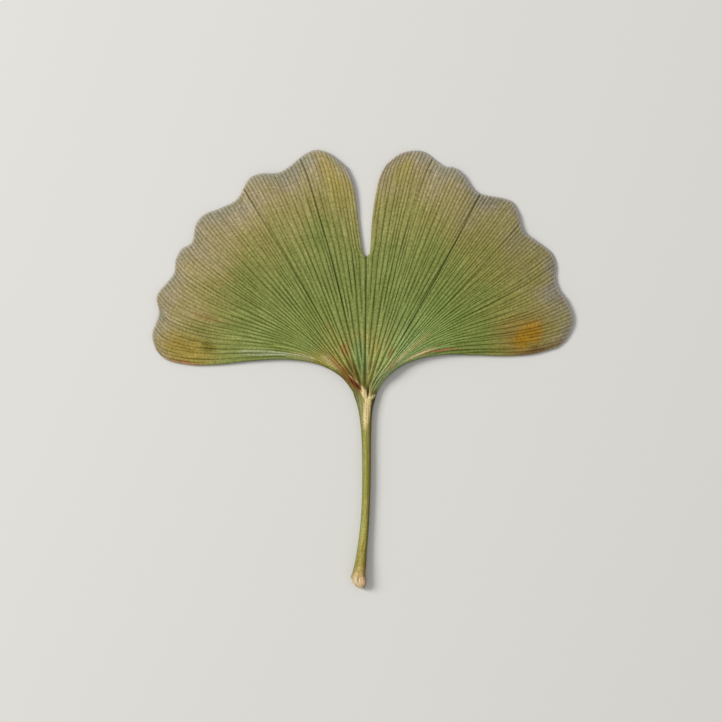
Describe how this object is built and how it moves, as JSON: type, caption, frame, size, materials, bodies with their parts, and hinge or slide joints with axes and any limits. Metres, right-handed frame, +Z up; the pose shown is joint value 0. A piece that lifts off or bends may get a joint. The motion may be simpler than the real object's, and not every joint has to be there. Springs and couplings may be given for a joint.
{
  "type": "ginkgo leaf",
  "caption": "Fan-shaped ginkgo leaf lying flat, olive green with tan edges, scalloped margin, deep notch between its lobes and a slender stalk.",
  "frame": {"origin": "centre of the leaf's bounding box, at the level of the surface it lies on", "axes": "+Z up out of the leaf's upper face, +Y from the stalk's cut end towards the lobes, +X towards the right-hand lobe seen from above"},
  "size_m": [0.0798, 0.083, 0.0021],
  "materials": {
    "leaf_tissue": "soft satin, finely ribbed by forking veins; olive green in the middle, tan at the rim"
  },
  "bodies": {
    "root": {"ginkgo_leaf": "leaf_tissue"}
  },
  "joints": []
}
